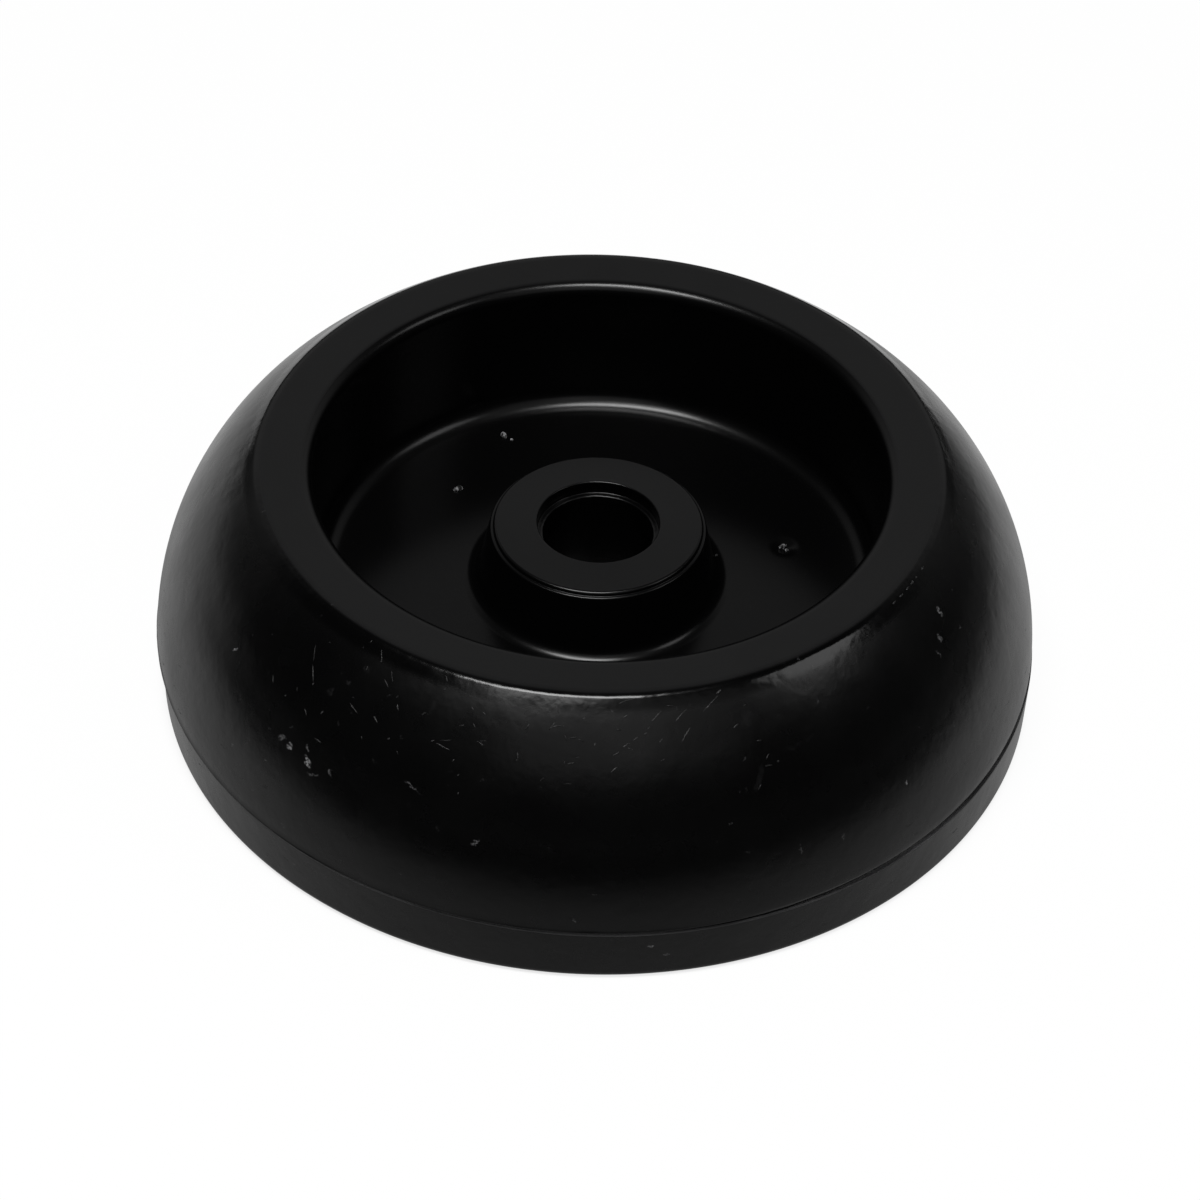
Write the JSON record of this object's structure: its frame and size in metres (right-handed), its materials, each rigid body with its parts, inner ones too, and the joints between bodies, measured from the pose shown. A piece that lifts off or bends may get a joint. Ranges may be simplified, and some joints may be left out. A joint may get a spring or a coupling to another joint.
{
  "type": "lawn mower wheel",
  "caption": "One-piece black plastic deck wheel for a lawn mower: rounded tread, flat rim, deep cup and a bored hub for an axle bolt.",
  "frame": {"origin": "on the axle line, on the plane that the lower face rests on", "axes": "+Z along the axle line, out of the cup; the wheel is round about Z"},
  "size_m": [0.1274, 0.1274, 0.0381],
  "materials": {
    "black_plastic": "black moulded plastic, satin with fine scuffs on the tread"
  },
  "bodies": {
    "root": {"wheel": "black_plastic"}
  },
  "joints": []
}
